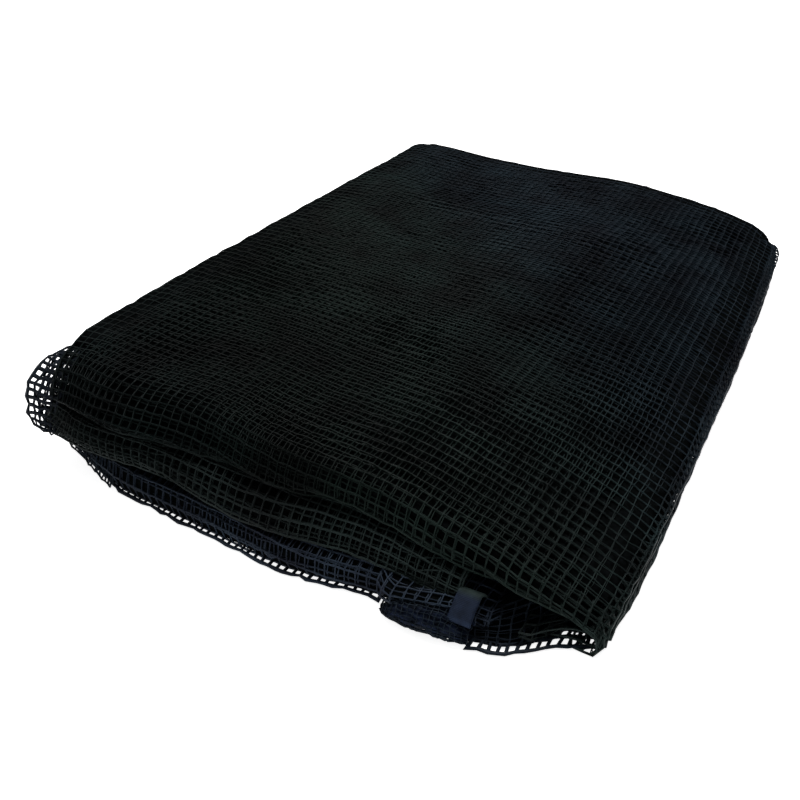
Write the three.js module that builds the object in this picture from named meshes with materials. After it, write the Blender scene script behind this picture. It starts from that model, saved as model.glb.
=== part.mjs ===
// A trampoline safety net, folded into a pack that lies on its flat underside.
// The net is folded in three over its height, then doubled along its length and
// laid back and forth in six, so the pack shows twelve sheets of one long cloth.
// Millimetres, +Z up. X runs along the front edge, Y from the front to the back,
// and the origin is on the floor under the middle of the pack.
import * as THREE from "three";

const { clamp, lerp, smoothstep } = THREE.MathUtils;

// The pack's overall size, and the thickness of the net folded in three.
const WIDTH = 594;
const DEPTH = 859;
const SHEET = 1.6;
const LEFT = -WIDTH / 2;
const FRONT = -DEPTH / 2;
const BACK = DEPTH / 2;

// The side edges bulge by this much between their corners.
const RIGHT_BULGE = 9.4;
const LEFT_BULGE = 1;

// Sheets lie in three bundles of four, and each bundle turns in one lip at the front.
const LIP_SHEETS = 4;
const LIP_GAP_SHARE = 0.035;
const LEAST_PITCH = 2.4;
const LEAST_LIP = SHEET + (LIP_SHEETS - 1) * LEAST_PITCH;

// Stops across the pack, and along the sheets between their turns.
const ACROSS_STOPS = [0, 0.05, 0.12, 0.2, 0.3, 0.4, 0.5, 0.6, 0.64, 0.69, 0.76, 0.82, 0.87, 0.92, 0.96, 1];
const TOP_STOPS = [0, 0.08, 0.2, 0.32, 0.4, 0.48, 0.6, 0.68, 0.74, 0.79, 0.84, 0.92, 1];
const PLAIN_STOPS = [0, 0.2, 0.4, 0.6, 0.74, 0.84, 1];
const TURN_STEPS = 6;

// The net's bundles keep their ends this share of the depth from the front, then ease to the back.
const END_HOLD = 0.2;

// A smooth curve through the rows of a table, read at a share of the width.
function curve(rows, column) {
  const places = rows.map((row) => row.at);
  const values = rows.map((row) => row[column]);
  const spline = new THREE.CubicInterpolant(places, values, 1);
  return (share) => spline.evaluate(clamp(share, 0, 1))[0];
}

// How far each lip's front edge lies behind the foremost point of the pack. The upper lip is set
// back from the others, and the lower lip is pushed back where the border tape lies in front of it.
const FRONT_EDGE = [
  { at: 0, upper: 54, middle: 34, lower: 56 },
  { at: 0.06, upper: 56, middle: 30, lower: 46 },
  { at: 0.12, upper: 57, middle: 25, lower: 36 },
  { at: 0.2, upper: 57, middle: 23, lower: 26 },
  { at: 0.28, upper: 57, middle: 27, lower: 21 },
  { at: 0.36, upper: 55, middle: 33, lower: 15 },
  { at: 0.44, upper: 53, middle: 36, lower: 10 },
  { at: 0.52, upper: 52, middle: 39, lower: 6 },
  { at: 0.58, upper: 51, middle: 42, lower: 6 },
  { at: 0.65, upper: 52, middle: 43, lower: 11 },
  { at: 0.69, upper: 53, middle: 43, lower: 17.5 },
  { at: 0.825, upper: 49, middle: 40, lower: 19.2 },
  { at: 0.86, upper: 45, middle: 40, lower: 14 },
  { at: 0.89, upper: 44, middle: 40, lower: 20 },
  { at: 0.92, upper: 44, middle: 40, lower: 38 },
  { at: 0.95, upper: 45, middle: 40, lower: 45 },
  { at: 1, upper: 50, middle: 40, lower: 52 },
];
const frontEdge = {
  upper: curve(FRONT_EDGE, "upper"),
  middle: curve(FRONT_EDGE, "middle"),
  lower: curve(FRONT_EDGE, "lower"),
};

// Height of the pack's top at its front edge and at its back edge.
const TOP_HEIGHTS = [
  { at: 0, front: 104, back: 107 },
  { at: 0.1, front: 104, back: 107 },
  { at: 0.25, front: 102, back: 96 },
  { at: 0.5, front: 92, back: 94 },
  { at: 0.65, front: 81, back: 91 },
  { at: 0.8, front: 63, back: 77 },
  { at: 0.9, front: 45, back: 62 },
  { at: 1, front: 20.5, back: 39 },
];
const topAtFront = curve(TOP_HEIGHTS, "front");
const topAtBack = curve(TOP_HEIGHTS, "back");

// Soft creases that run across the top: where along the depth, the rise and half the breadth.
const TOP_CREASES = [
  { at: 0.4, rise: -4, half: 0.07 },
  { at: 0.73, rise: 5, half: 0.04 },
  { at: 0.84, rise: -5, half: 0.06 },
];
const CREASE_START = { from: 0, to: 0.18 };
const CREASE_FADE = { from: 0.7, to: 0.95 };

// Where the lower and the middle lip end at the front, as shares of the height.
const LIP_SHARES = [
  { at: 0, lower: 0.33, middle: 0.67 },
  { at: 0.7, lower: 0.33, middle: 0.67 },
  { at: 0.8, lower: 0.34, middle: 0.67 },
  { at: 0.9, lower: 0.29, middle: 0.67 },
  { at: 1, lower: 0.5, middle: 0.67 },
];
const lowerShare = curve(LIP_SHARES, "lower");
const middleShare = curve(LIP_SHARES, "middle");

// The folds and ends: the sheets that turn there, numbered from the floor, and the outline they
// follow, how far behind it they are tucked, and how far they stop short at the left and right.
const FOLDS = [
  { side: "front", edge: "upper", lowest: 9, highest: 12, tuck: 0, left: 1.6, right: 0 },
  { side: "front", edge: "middle", lowest: 5, highest: 8, tuck: 0, left: 4, right: 118 },
  { side: "front", edge: "lower", lowest: 1, highest: 4, tuck: 0, left: 38, right: 8 },
  { side: "back", edge: "rear", lowest: 11, highest: 12, tuck: 0, left: 10, right: 1 },
  { side: "back", edge: "rear", lowest: 7, highest: 10, tuck: 6, left: 15, right: 17 },
  { side: "back", edge: "rear", lowest: 3, highest: 6, tuck: 9, left: 12, right: 23 },
  { side: "back", edge: "rear", lowest: 1, highest: 2, tuck: 26, left: 19, right: 29 },
];

// The folds wave in and out by up to twice this much, each at its own pace.
const WAVE = { size: 2.5, first: 1.9, pace: 0.13 };

// The order in which the one cloth passes through the sheets, from one of its ends to the other.
const SHEET_ORDER = [1, 4, 5, 8, 9, 12, 11, 10, 7, 6, 3, 2];
const FINE_SHEETS = [11, 12];

// Webbing tab: a strap end that bends over beside the middle lip and slopes down to the tape.
const TAB = { width: 20, thick: 1.6, left: 170.4 };
const TAB_LINE = [
  { y: -376, z: 28 },
  { y: -386, z: 33.5 },
  { y: -397, z: 35.5 },
  { y: -409, z: 30 },
  { y: -421, z: 22.8 },
];

// Border tape: a doubled band that lies on the floor in front of the lower lip, a little askew.
const TAPE = { width: 70, thick: 2, left: 119, height: 21.6, depth: 20, face: -429.5, turn: 6 };

const LOOKS = {
  net: { color: 0x15171a, roughness: 0.6, metalness: 0 },
  webbing_tab: { color: 0x2b3342, roughness: 0.75, metalness: 0 },
  border_tape: { color: 0x1a222e, roughness: 0.7, metalness: 0 },
};

// Height of the pack's top at a place in plan.
function topHeight(x, y) {
  const across = (x - LEFT) / WIDTH;
  const along = (y - FRONT) / DEPTH;
  const rise = TOP_CREASES.reduce(
    (sum, crease) => sum + crease.rise * Math.exp(-(((along - crease.at) / crease.half) ** 2)),
    0,
  );
  const start = smoothstep(across, CREASE_START.from, CREASE_START.to);
  const fade = 1 - smoothstep(across, CREASE_FADE.from, CREASE_FADE.to);
  return lerp(topAtFront(across), topAtBack(across), smoothstep(along, 0, 1)) + start * fade * rise;
}

// Height of a sheet's middle at a place in plan: each lip's sheets share its height evenly.
function sheetHeight(sheet, x, y) {
  const across = (x - LEFT) / WIDTH;
  const even = smoothstep(y, FRONT, 0);
  const top = topHeight(x, y);
  const lower = top * lerp(lowerShare(across), 1 / 3, even);
  const middle = Math.min(top * lerp(middleShare(across), 2 / 3, even), top - LEAST_LIP);
  const edges = [0, lower, middle, top];
  const lip = Math.floor((sheet - 1) / LIP_SHEETS);
  const gap = edges[lip + 1] === top ? 0 : LIP_GAP_SHARE * top;
  const place = ((sheet - 1) % LIP_SHEETS) / (LIP_SHEETS - 1);
  return lerp(edges[lip] + SHEET / 2, edges[lip + 1] - SHEET / 2 - gap, place);
}

function foldOf(sheet, side) {
  return FOLDS.find((fold) => fold.side === side && fold.lowest <= sheet && sheet <= fold.highest);
}

// Y of a fold's outermost points.
function foldEdge(fold, x) {
  const across = (x - LEFT) / WIDTH;
  const turns = WAVE.first + WAVE.pace * fold.highest;
  const inward = fold.tuck + WAVE.size * (1 + Math.sin(2 * Math.PI * turns * (across + fold.lowest / 10)));
  return fold.side === "front" ? FRONT + frontEdge[fold.edge](across) + inward : BACK - inward;
}

// The line about which a fold's sheets turn, at a share of the fold's width.
function turnLine(fold, share) {
  const x = lerp(LEFT + fold.left, WIDTH / 2 - RIGHT_BULGE - fold.right, share);
  const edge = foldEdge(fold, x);
  const reach = (sheetHeight(fold.highest, x, edge) - sheetHeight(fold.lowest, x, edge) + SHEET) / 2;
  return new THREE.Vector2(x, fold.side === "front" ? edge + reach : edge - reach);
}

// A point of a sheet between its two turns.
function sheetPoint(sheet, share, along) {
  const front = turnLine(foldOf(sheet, "front"), share);
  const back = turnLine(foldOf(sheet, "back"), share);
  const straight = lerp(front.x, back.x, smoothstep(along, END_HOLD, 1));
  const across = (straight - LEFT) / WIDTH;
  const bulge = RIGHT_BULGE * across ** 8 - LEFT_BULGE * (1 - across) ** 8;
  const x = straight + bulge * Math.sin(Math.PI * along);
  const y = lerp(front.y, back.y, along);
  return new THREE.Vector3(x, y, sheetHeight(sheet, x, y));
}

// A point of the half round turn from one sheet into the next.
function turnPoint(fold, from, to, share, swing) {
  const line = turnLine(fold, share);
  const start = sheetHeight(from, line.x, line.y);
  const end = sheetHeight(to, line.x, line.y);
  const outward = ((fold.side === "front" ? -1 : 1) * Math.abs(end - start)) / 2;
  const y = line.y + outward * Math.sin(Math.PI * swing);
  return new THREE.Vector3(line.x, y, lerp(start, end, (1 - Math.cos(Math.PI * swing)) / 2));
}

// The whole length of the net as a row of places, each a point for a share of the width.
function netRoute() {
  const route = [];
  SHEET_ORDER.forEach((sheet, index) => {
    const side = index % 2 === 0 ? "front" : "back";
    const stops = FINE_SHEETS.includes(sheet) ? [...TOP_STOPS] : [...PLAIN_STOPS];
    if (side === "front") stops.reverse();
    stops.forEach((along) => route.push((share) => sheetPoint(sheet, share, along)));
    if (index === SHEET_ORDER.length - 1) return;
    const fold = foldOf(sheet, side);
    for (let step = 1; step < TURN_STEPS; step++) {
      route.push((share) => turnPoint(fold, sheet, SHEET_ORDER[index + 1], share, step / TURN_STEPS));
    }
  });
  return route;
}

// A box with a step for each place and stop, laid along the route as the sheet.
function netGeometry() {
  const route = netRoute();
  const lengthSteps = route.length - 1;
  const widthSteps = ACROSS_STOPS.length - 1;
  const geometry = new THREE.BoxGeometry(1, 1, 1, lengthSteps, widthSteps, 1);
  const positions = geometry.getAttribute("position");
  const nudge = 0.004;
  for (let i = 0; i < positions.count; i++) {
    const step = Math.round((positions.getX(i) + 0.5) * lengthSteps);
    const share = ACROSS_STOPS[Math.round((positions.getY(i) + 0.5) * widthSteps)];
    const place = route[step];
    const before = route[Math.max(step - 1, 0)](share);
    const after = route[Math.min(step + 1, lengthSteps)](share);
    const lengthwise = after.sub(before);
    const crosswise = place(Math.min(share + nudge, 1)).sub(place(Math.max(share - nudge, 0)));
    const face = lengthwise.cross(crosswise).normalize();
    const point = place(share).addScaledVector(face, positions.getZ(i) * SHEET);
    positions.setXYZ(i, point.x, point.y, point.z);
  }
  geometry.computeVertexNormals();
  return geometry;
}

// A band of even thickness along a line in the plane of depth and height, run out along X.
function bandGeometry(line, band) {
  const sides = [1, -1].map((side) =>
    line.map((point, i) => {
      const before = line[Math.max(i - 1, 0)];
      const after = line[Math.min(i + 1, line.length - 1)];
      const along = after.clone().sub(before).normalize();
      const offset = (side * band.thick) / 2;
      return new THREE.Vector2(point.x - along.y * offset, point.y + along.x * offset);
    }),
  );
  const shape = new THREE.Shape([...sides[0], ...sides[1].reverse()]);
  const geometry = new THREE.ExtrudeGeometry(shape, { depth: band.width, bevelEnabled: false });
  const axes = new THREE.Matrix4().makeBasis(
    new THREE.Vector3(0, 1, 0),
    new THREE.Vector3(0, 0, 1),
    new THREE.Vector3(1, 0, 0),
  );
  return geometry.applyMatrix4(axes).translate(band.left, 0, 0);
}

function tabGeometry() {
  const line = new THREE.SplineCurve(TAB_LINE.map(({ y, z }) => new THREE.Vector2(y, z)));
  return bandGeometry(line.getPoints(14), TAB);
}

function tapeGeometry() {
  const radius = (TAPE.height - TAPE.thick) / 2;
  const middle = TAPE.face + TAPE.thick / 2 + radius;
  const rear = TAPE.face + TAPE.depth;
  const low = TAPE.thick / 2;
  const bend = new THREE.EllipseCurve(middle, low + radius, radius, radius, -Math.PI / 2, Math.PI / 2, true);
  const start = new THREE.Vector2(rear, low);
  const end = new THREE.Vector2(rear, low + 2 * radius);
  const line = [start, ...bend.getPoints(10), end];
  const turn = THREE.MathUtils.degToRad(TAPE.turn);
  const geometry = bandGeometry(line, TAPE).translate(-TAPE.left, -TAPE.face, 0);
  return geometry.rotateZ(turn).translate(TAPE.left, TAPE.face, 0);
}

const pack = new THREE.Group();
pack.name = "trampoline_safety_net";
const pieces = { net: netGeometry(), webbing_tab: tabGeometry(), border_tape: tapeGeometry() };
for (const [name, geometry] of Object.entries(pieces)) {
  const piece = new THREE.Mesh(geometry, new THREE.MeshStandardMaterial(LOOKS[name]));
  piece.name = name;
  pack.add(piece);
}

export default pack;
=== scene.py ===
"""A trampoline safety net, folded into a flat pack of three bundles of black mesh.

The end of a webbing strap and a fold of border tape lie between the lips of its near corner.
Sizes in the tables are millimetres, and the finished pieces are in metres.
"""

import math

import bmesh
import bpy
import numpy as np
from bpy.props import FloatProperty, FloatVectorProperty, IntProperty, PointerProperty
from bpy.types import Operator, Panel, PropertyGroup
from mathutils import Matrix, Vector


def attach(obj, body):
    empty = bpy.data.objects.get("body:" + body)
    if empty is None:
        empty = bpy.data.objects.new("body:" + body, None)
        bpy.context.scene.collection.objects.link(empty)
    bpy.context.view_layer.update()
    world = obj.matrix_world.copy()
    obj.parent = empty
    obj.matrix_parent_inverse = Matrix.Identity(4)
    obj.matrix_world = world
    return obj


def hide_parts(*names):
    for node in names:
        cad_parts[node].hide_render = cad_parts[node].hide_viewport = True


bl_info = {
    "name": "Folded safety net",
    "version": (1, 0, 0),
    "blender": (4, 5, 0),
    "location": "View3D > Sidebar > Net",
    "description": "Lays a folded trampoline safety net with its border tape and strap end",
    "category": "Add Mesh",
}

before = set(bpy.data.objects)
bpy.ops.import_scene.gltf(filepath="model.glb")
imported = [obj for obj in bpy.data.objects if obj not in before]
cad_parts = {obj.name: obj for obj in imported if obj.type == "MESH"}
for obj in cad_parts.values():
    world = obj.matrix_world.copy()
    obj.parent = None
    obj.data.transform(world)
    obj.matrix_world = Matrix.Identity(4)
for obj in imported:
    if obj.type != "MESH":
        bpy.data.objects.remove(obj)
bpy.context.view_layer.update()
MM = 0.001

# The pack's overall size, the thickness of the net folded in three, and the bulge of its sides.
WIDTH = 594
DEPTH = 859
SHEET = 1.6
LEFT = -WIDTH / 2
FRONT = -DEPTH / 2
BACK = DEPTH / 2
RIGHT_BULGE = 9.4
LEFT_BULGE = 1

# Sheets lie in three bundles of four, and each bundle turns in one lip at the front.
LIP_SHEETS = 4
# The gap between bundles as a share of the height, and the upper lip's least height.
LIP_GAP_SHARE = 0.012
LEAST_LIP = 8.8
# The share of the depth over which a sheet keeps the place of its turn at the front.
END_HOLD = 0.2
# How much further back than half round the lips begin to turn.
LIP_STRETCH = {"upper": 0, "middle": 3, "lower": 2, "rear": 0}
# How square the upper and the lower half of a lip's section are: 1 is round, and less is squarer.
LIP_SQUARE = {"upper": (0.85, 0.4), "middle": (0.7, 0.4), "lower": (0.7, 0.3), "rear": (1, 1)}
# A lip that lies back slopes forward at its foot, a share of the way to the front of the next.
LIP_SLOPE = {"upper": ("middle", 1), "middle": ("lower", 0.85)}
# The crease along the upper lip's slope: where up the lip, half its breadth and its depth.
LIP_CREASE = (0.42, 0.09, 7)
# Across the pack: where that crease begins to fade and where it ends.
LIP_CREASE_FADE = (0.37, 0.62)

# Across the pack: how far the front edges of the upper, the middle and the lower lip lie back.
FRONT_EDGE = (
    (0, 54, 34, 56),
    (0.06, 56, 30, 46),
    (0.12, 57, 25, 36),
    (0.2, 57, 23, 26),
    (0.28, 57, 27, 21),
    (0.36, 55, 33, 15),
    (0.44, 53, 36, 10),
    (0.52, 52, 39, 9),
    (0.58, 51, 42, 13),
    (0.65, 52, 43, 19),
    (0.69, 53, 43, 20),
    (0.825, 49, 40, 19.2),
    (0.86, 45, 40, 14),
    (0.89, 44, 40, 20),
    (0.92, 44, 40, 38),
    (0.95, 45, 40, 45),
    (1, 50, 40, 52),
)
# Across the pack: the height of the top at the front edge and at the back edge.
TOP_HEIGHTS = (
    (0, 104, 107),
    (0.1, 104, 108),
    (0.25, 102, 99),
    (0.5, 92, 97.5),
    (0.65, 81, 94.5),
    (0.8, 63, 80.5),
    (0.9, 45, 65),
    (1, 20.5, 42),
)
# Soft creases across the top: where along the depth, the rise and half the breadth.
TOP_CREASES = ((0.4, -4, 0.07), (0.73, 5, 0.04), (0.84, -5, 0.06))
CREASE_START = (0, 0.18)
CREASE_FADE = (0.7, 0.95)
# Across the pack: where the lower and the middle lip end, as shares of the height.
LIP_SHARES = (
    (0, 0.33, 0.67),
    (0.7, 0.33, 0.67),
    (0.8, 0.34, 0.67),
    (0.9, 0.29, 0.67),
    (1, 0.5, 0.67),
)
# Folds: side, outline, lowest and highest sheet, tuck, and how far short it stops left and right.
FOLDS = (
    ("front", "upper", 9, 12, 0, 1.6, 0),
    ("front", "middle", 5, 8, 0, 4, 118),
    ("front", "lower", 1, 4, 0, 38, 8),
    ("back", "rear", 11, 12, 0, 10, 1),
    ("back", "rear", 7, 10, 6, 15, 17),
    ("back", "rear", 3, 6, 9, 12, 23),
    ("back", "rear", 1, 2, 26, 19, 29),
)
# The sway of a fold's line in plan: its size, the waves across the first fold, and more per sheet.
WAVE_SIZE = 2.5
WAVE_FIRST = 1.9
WAVE_PACE = 0.13

# The pack's two back corners: side, distance from the middle and radius.
BACK_CORNERS = ((-1, 287, 30), (1, 287, 45))
# The radius at which the top sheet rolls over the left edge.
LEFT_ROLL = 4
# How far the front left corner is drawn in, and the heights, depths and places between which it is.
CORNER_IN = 22
CORNER_RISE = (34, 62)
CORNER_DEPTH = (FRONT + 50, FRONT + 130)
CORNER_PLACE = (LEFT, LEFT + 90)
# The hang of the top net's right side: how much longer it is than its drop, and its least length.
HANG_SPARE = 3
HANG_LEAST = 6
# How far the hang swells out at the near corner, behind it and further back, and where it changes.
HANG_SWELL = (3, 9, 5)
HANG_NEAR = (FRONT + 45, FRONT + 120)
HANG_FAR = (FRONT + 150, FRONT + 350)
# How much of the net to spare at the hang's foot turns in under the pack.
HANG_TUCK = 0.9

# The strap end's width and left side, and its line in depth and height.
TAB_WIDTH = 20
TAB_LEFT = 170.4
TAB_LINE = ((-380, 14), (-386, 21), (-392, 29), (-398, 32), (-404, 30), (-412, 25), (-420, 18.5))
# Its weave: the thread's spacing in metres and how mottled it is.
STRAP_WEAVE = (0.002, 0.4)

# The border tape's doubled band on the floor: place, how far back its front lies, and height.
TAPE_WIDTH = 76
TAPE_LINE = (
    (0, 112, 9, 5),
    (0.1, 119, 3.5, 12),
    (0.24, 130, 0.5, 18),
    (0.45, 147, 0, 20),
    (0.68, 165, 2, 20),
    (0.85, 178, 4, 17),
    (1, 189, 8, 11),
)
TAPE_BULGE = 8
# Shares of the way over the tape between which it turns, its tails' length and its way over all.
TAPE_TURN = (0.22, 0.78)
TAPE_TAIL = 10
TAPE_OVER = 60
# The depth of its puckers, and its weave: the thread's spacing in metres and how mottled it is.
TAPE_PUCKER = 1.6
TAPE_WEAVE = (0.0016, 0.85)
# The lower lip's front on the tape: its lowest and highest, and how far back it stops across it.
TAPE_REST = 17.5
TAPE_LIP_TOP = 25
TAPE_LIP_FRONT = ((0.67, 12), (0.69, 6), (0.72, 9), (0.75, 12), (0.79, 16), (0.83, 20))
# Across the pack: where the lower lip climbs onto the tape and where it comes down again.
TAPE_CLIMB = (0.672, 0.7)
TAPE_DESCENT = (0.8, 0.822)
# How far the lower lip is tucked back beside the strap end, and where across the pack that begins.
LIP_TUCK = 42
TUCK_START = (0.825, 0.865)
# The depths between which the lip's lift onto the tape and its tuck fade away.
LIFT_FADE = (FRONT + 45, FRONT + 110)

# The loose loops of net at the left front corner: height, how far out and how far back they lie.
CHEEK = (
    (0, 98, 21, 92),
    (0.1, 96, 23, 82),
    (0.18, 95, 26, 74),
    (0.29, 92, 27, 64),
    (0.39, 85, 29, 56),
    (0.49, 78, 32, 48),
    (0.6, 68, 31, 42),
    (0.73, 56, 29, 38),
    (0.83, 46, 27, 34),
    (0.92, 41, 20, 30),
    (1, 40, 8, 28),
)
# Where those loops start in the lips, and the side that they lie out from.
CHEEK_START = -266
CHEEK_SIDE = -276
# How far a second ply of those loops lies to the right, back and up.
UNDER_LOOP_SHIFT = (2.5, 4, 1.5)
# The edge of loops from there down to the lower lip's foot: place, depth and height.
SKIRT = (
    (0, -278, -391, 46),
    (0.25, -260, -391, 27),
    (0.5, -241, -392, 13),
    (0.72, -224, -395, 5),
    (1, -198, -404, 1.5),
)
# How far the loops of that edge reach to the right, back and up, and its two plies' distance.
SKIRT_RISE = (2, 4, 12)
SKIRT_GAP = 2

# The loose flap of net on the floor at the near corner: place, and how far back its front lies.
FLAP = (
    (0, 184, 4),
    (0.15, 200, 7),
    (0.3, 215, 11.5),
    (0.5, 235, 26),
    (0.7, 255, 43),
    (0.87, 272, 50),
    (1, 284, 58),
)
# Its rows of meshes, at the strap end and where they are gathered: each row's step back and rise.
FLAP_STEP = (3.5, 6.5)
FLAP_RISE = (2.4, 4)
FLAP_GATHER = (0.08, 0.6)
# How far behind the front the rows begin, how much further at the corner, and where that changes.
FLAP_START = 9
FLAP_CORNER = 9
FLAP_CORNER_AT = (0.45, 0.65)
# How much of the rise is lost toward the corner, where that is, and each row's shift to the left.
FLAP_SINK = 0.6
FLAP_SINK_AT = (0.6, 1)
FLAP_SHIFT = 1.2
# The bold meshes along its rim: their start, their number of yarns, and how far back they lie.
FLAP_RIMS = ((0.07, 15, (1, 11)), (0.5, 8, (11, 20)))
# The flap's net over the tape: shares of the way over that it covers, and its distance from it.
BAND_SPAN = (0.2, 0.9)
BAND_GAP = 1.4
# The row of meshes at the lower lip's foot: first place, last place and step, and how far back.
FRINGE_PLACES = (-200, 112, 8)
FRINGE_BACK = (-2.5, 7)
# How far that row is set back at its left and at its right, and the places between which it is.
FRINGE_LEFT = (3, -200, -60)
FRINGE_RIGHT = (2, 20, 70)
# The height at which loose meshes lie on the floor, and the least height of any cloth.
RIM_HEIGHT = 1.6
LEAST_HEIGHT = 1
# The small loop of cord on the lower lip: its middle, its radius and the cord's breadth.
CORD_LOOP = ((1, -413, 16), 8, 4)

# Yarns as they lie: how many times as broad, those down also, and how thick for their breadth.
LIP_YARN = (1, 1.5)
FLAP_YARN = (0.85, 1.5)
BAND_YARN = (0.8, 1.7)
RIM_YARN = (2.5, 1.9, 0.3)
LOOP_YARN = (3.6, 1.3, 0.35)
UNDER_LOOP_YARN = (2.4, 1.5, 0.4)
SKIRT_YARN = (2.2, 1.3, 0.5)
# How far the yarns of those nets stray: across, lengthways and up, or the same each way.
FRINGE_WANDER = (1.5, 1.2, 0.3)
FLAP_WANDER = (1.5, 1.5, 0.3)
FLAP_LOOSE = 1.1
BAND_LOOSE = 0.9
LOOP_LOOSE = 1.6
UNDER_LOOP_LOOSE = 2
SKIRT_LOOSE = 1

# The net is folded in three, and each of its plies slips, shifts and wanders in its own way.
PLIES = 3
TOP_SLIP = (0, 0.3, -0.3)
TOP_SHIFT = (0, 2.5, -2.5)
TOP_WANDER = ((2.2, 2), (3, 3.2), (3, 3.2))
TOP_LOOSE = 0.8
LIP_SLIP = (0, 0.15, -0.15)
LIP_SHIFT = (0, 0.22, -0.22)
LIP_WANDER = 4
LIP_LOOSE = 0.7
EDGE_WANDER = 2
EDGE_LOOSE = 0.6

# The top sheet: how much narrower than the pack, and its rows past the turns at the back and front.
TOP_SHORT = 12
TOP_BACK_ROWS = 7
TOP_LIP_ROWS = 16
# Its parts: shares of its rows where the front begins, rows into the lip, rows round the back turn.
TOP_FRONT = (0.4, 0.8)
TOP_NOSE = (4, 9)
TOP_TURN = (5, 14)
# The share of the width over which its sides are held, and its meshes down the right and the left.
TOP_HELD = 0.05
TOP_RIGHT = 5
TOP_SIDE = 3
# The lips below it: name, highest and lowest sheet, how much narrower, rows underneath, and the
# painted light or shade of their yarn.
FLOOR_ROWS = 76
LIPS = (
    # The middle lip's yarn carries painted shade, and the lower lip's painted bluish light from the
    # floor.
    ("middle_lip", 8, 5, 132, 11, "sheltered"),
    ("lower_lip", 4, 1, 55, FLOOR_ROWS, "bluish"),
)
LIP_BACK_ROWS = 11
LIP_UNDER_ROWS = 8
# The sheets between: their width, and the runs of sheets whose edges show at the sides.
INNER_WIDTH = WIDTH - 40
EDGE_MESHES = 5
EDGE_RUNS = (((4, 5, 8, 9), "back"), ((11, 10, 7, 6, 3, 2), "front"))
RIGHT_START = 0.98
# The turns that show at the back: first and last sheet, and rows in the turn.
BACK_TURNS = ((10, 7, 3), (8, 9, 1), (6, 3, 3), (4, 5, 1))
BACK_ROWS = 5
BACK_SPAN = (0.09, 0.91)
BACK_SHARE = 0.82
# The close plies: pairs of sheets that turn at the front, single sheets, and how short they stop.
INNER_TURNS = ((11, 10), (7, 6), (3, 2))
INNER_SHEETS = (9, 8, 5, 4)
INNER_SHORT = 5
INNER_SPAN = (0.008, 0.972)
INNER_COLUMNS = 49
INNER_ROWS = 24
INNER_TURN_ROWS = 8
INNER_THICK = 0.8
# The close plies behind each lip's net: highest and lowest sheet, and where across they lie.
LININGS = ((12, 9, 0.03, 0.975), (8, 5, 0.03, 0.992), (4, 1, 0.01, 0.95))
LINING_DEPTH = 4
# How far the close plies lie under the top net at its edges and over the rest of it.
TOP_INSET = (-0.8, 2.8)

# Painted light and shade on the yarn: how much of its colour shows, from the front left to the back
# right.
PAINTED_LIGHT = {
    # The top: painted light, darker at the front left and paler and bluer toward the back right,
    # where the light falls stronger.
    "rubbed": (
        (0, (0.3, 0.28, 0.31)),
        (0.1, (0.24, 0.23, 0.24)),
        (0.21, (0.24, 0.235, 0.22)),
        (0.36, (0.58, 0.51, 0.5)),
        (0.5, (0.58, 0.53, 0.58)),
        (0.62, (0.6, 0.53, 0.76)),
        (0.75, (0.64, 0.54, 0.82)),
    ),
    # The middle lip and the sheets' edges: painted shade, where they lie under the upper lip and
    # inside the pack.
    "sheltered": ((0, (0.67, 0.53, 0.57)), (1, (0.67, 0.53, 0.57))),
    # The lower lip: painted bluish light from the floor below it.
    "bluish": ((0, (1, 0.79, 1.3)), (1, (1, 0.79, 1.3))),
    # The loose net at the corners: painted shade.
    "shaded": ((0, (0.55, 0.44, 0.7)), (1, (0.55, 0.44, 0.7))),
}
# Painted highlight: the end at the right front is painted paler by this much more.
END_HIGHLIGHT = 1.72
# Painted highlight along the crest across the top: where along the depth, half its breadth and how
# much paler.
CREST_HIGHLIGHT = (0.705, 0.025, 1.25)

# How finely a line down the cloth is followed.
RUN_STEPS = 48
TURN_STEPS = 32

# The floor's size and how far it lies under the pack, in metres, and the studio's even light.
FLOOR_SIZE = 30
FLOOR_DROP = 0.0003
STUDIO_LIGHT = 0.2
# The lights' places in metres and their size.
TOP_LIGHT = (-0.2, 0.4, 2.0)
LEFT_LIGHT = (-2.0, -0.6, 1.4)
LIGHT_SIZE = 1.2
# The camera's place in metres, how far it looks down and how far it is turned, in degrees.
CAMERA_PLACE = (0.37608, -0.87726, 0.54017)
CAMERA_DOWN = 32.4835
CAMERA_TURN = 28.363
SENSOR_WIDTH = 36


def linear(code):
    """An sRGB colour written as a hex number, in linear light."""
    parts = [(code >> shift & 255) / 255 for shift in (16, 8, 0)]
    return tuple(p / 12.92 if p <= 0.04045 else ((p + 0.055) / 1.055) ** 2.4 for p in parts)


class NetSizes(PropertyGroup):
    """The net's mesh and yarn."""

    mesh_width: FloatProperty(
        name="Mesh width",
        description="Distance between the yarns that run from front to back",
        default=0.0093,
        unit="LENGTH",
    )
    mesh_length: FloatProperty(
        name="Mesh length",
        description="Distance between the yarns that run across",
        default=0.0105,
        unit="LENGTH",
    )
    yarn_across: FloatProperty(
        name="Yarn across",
        description="Breadth of the yarns that run across",
        default=0.0022,
        unit="LENGTH",
    )
    yarn_down: FloatProperty(
        name="Yarn down",
        description="Breadth of the yarns that run from front to back",
        default=0.0012,
        unit="LENGTH",
    )
    ply_gap: FloatProperty(
        name="Ply gap",
        description="Distance between the plies of the net folded in three",
        default=0.0016,
        unit="LENGTH",
    )
    seed: IntProperty(name="Seed", description="Start of the uneven lie of the yarns", default=7)
    dark: FloatVectorProperty(
        name="Dark yarn",
        description="Colour of the darker yarn",
        subtype="COLOR",
        default=linear(0x181F1E),
    )
    light: FloatVectorProperty(
        name="Light yarn",
        description="Colour of the yarn where it is rubbed",
        subtype="COLOR",
        default=linear(0x243330),
    )


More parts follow.
